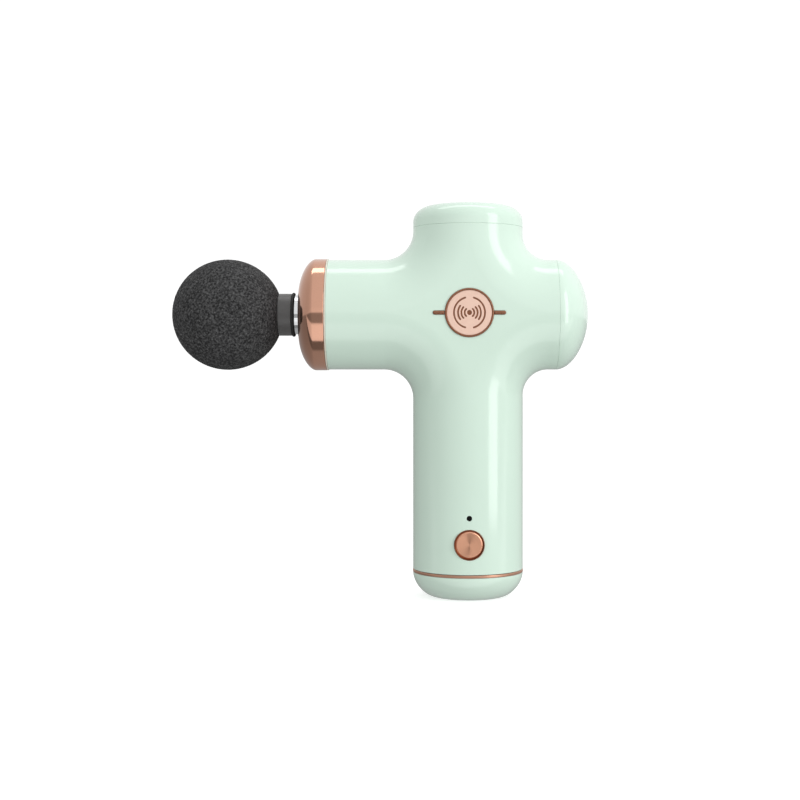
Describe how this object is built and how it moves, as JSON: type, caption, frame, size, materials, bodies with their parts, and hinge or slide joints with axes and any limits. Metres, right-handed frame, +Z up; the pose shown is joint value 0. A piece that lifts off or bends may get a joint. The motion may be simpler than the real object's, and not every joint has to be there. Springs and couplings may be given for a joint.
{
  "type": "massage gun",
  "caption": "Cross-shaped handheld percussion massager with a foam ball head, crank-driven piston, upright handle and push button.",
  "frame": {"origin": "centre of the flat base face, on the handle's axis", "axes": "+Z up along the handle, the barrel and ball head towards -X, the badge and button towards -Y"},
  "size_m": [0.1697, 0.0457, 0.159],
  "materials": {
    "mint_shell": "gloss",
    "rose_gold": "polished",
    "pink_gold": "satin",
    "dark_copper": "satin",
    "bright_alloy": "polished",
    "machined_alloy": "satin",
    "steel": "satin",
    "windings": "satin",
    "grey_plastic": "satin",
    "bearing_plastic": "satin",
    "black_plastic": "matte",
    "dark_window": "gloss",
    "light_chip": "satin",
    "board": "satin",
    "cell_sleeve": "satin",
    "black_rubber": "matte",
    "red_rubber": "matte",
    "foam": "matte"
  },
  "bodies": {
    "housing": {"front_shell": "mint_shell", "back_shell": "mint_shell", "top_cap": "mint_shell", "rear_cap": "mint_shell", "base_cap": "mint_shell", "nose_ring": "rose_gold", "base_trim_ring": "rose_gold", "badge_plate": "pink_gold", "badge_rim": "dark_copper", "badge_bar_left": "dark_copper", "badge_bar_right": "dark_copper", "button_bezel": "dark_copper", "motor_base": "machined_alloy", "motor_bracket": "machined_alloy", "upper_bearing": "steel", "lower_bearing": "steel", "usb_socket": "steel", "motor_screw_1": "steel", "motor_screw_2": "steel", "motor_screw_3": "steel", "board_screw_1": "steel", "board_screw_2": "steel", "motor_stator": "windings", "bush_carrier": "grey_plastic", "guide_bush": "bearing_plastic", "battery_cradle": "black_plastic", "tact_switch": "black_plastic", "status_window": "dark_window", "status_led": "light_chip", "control_board": "board", "charge_board": "board", "battery_cell_left": "cell_sleeve", "battery_cell_right": "cell_sleeve", "nose_seal": "black_rubber", "nose_gasket": "bearing_plastic", "motor_lead": "black_rubber", "battery_lead": "red_rubber"},
    "rotor": {"motor_shaft": "steel", "motor_bell": "steel", "motor_magnets": "steel", "crank_disc": "steel", "crank_pin": "steel"},
    "rod": {"connecting_rod": "machined_alloy", "pin_bearing": "steel", "wrist_pin": "steel"},
    "piston": {"piston": "bright_alloy"},
    "massage_head": {"head_ball": "foam", "head_stem": "grey_plastic", "head_washer": "black_rubber"},
    "button": {"power_button": "rose_gold", "switch_plunger": "black_plastic"}
  },
  "joints": [
    {"name": "crank", "type": "hinge", "parent": "housing", "child": "rotor", "pos_m": [0, 0, 0.1146], "axis": [0, 0, 1], "range_deg": [0, 180]},
    {"name": "rod_pivot", "type": "hinge", "parent": "rotor", "child": "rod", "pos_m": [0.003, 0, 0.1146], "axis": [0, 0, 1], "range_deg": [-180, 0]},
    {"name": "piston_stroke", "type": "slide", "parent": "housing", "child": "piston", "axis": [-1, 0, 0], "range_m": [0, 0.006]},
    {"name": "head_pull", "type": "slide", "parent": "piston", "child": "massage_head", "axis": [-1, 0, 0], "range_m": [0, 0.02]},
    {"name": "button_press", "type": "slide", "parent": "housing", "child": "button", "axis": [0, 1, 0], "range_m": [0, 0.0006], "stiffness_N_per_m": 1200, "springref_m": -0.0004}
  ],
  "couplings": [
    {"joint": "rod_pivot", "follows": "crank", "ratio": -1},
    {"joint": "piston_stroke", "follows": "crank", "m_per_rad": 0.0019099}
  ]
}
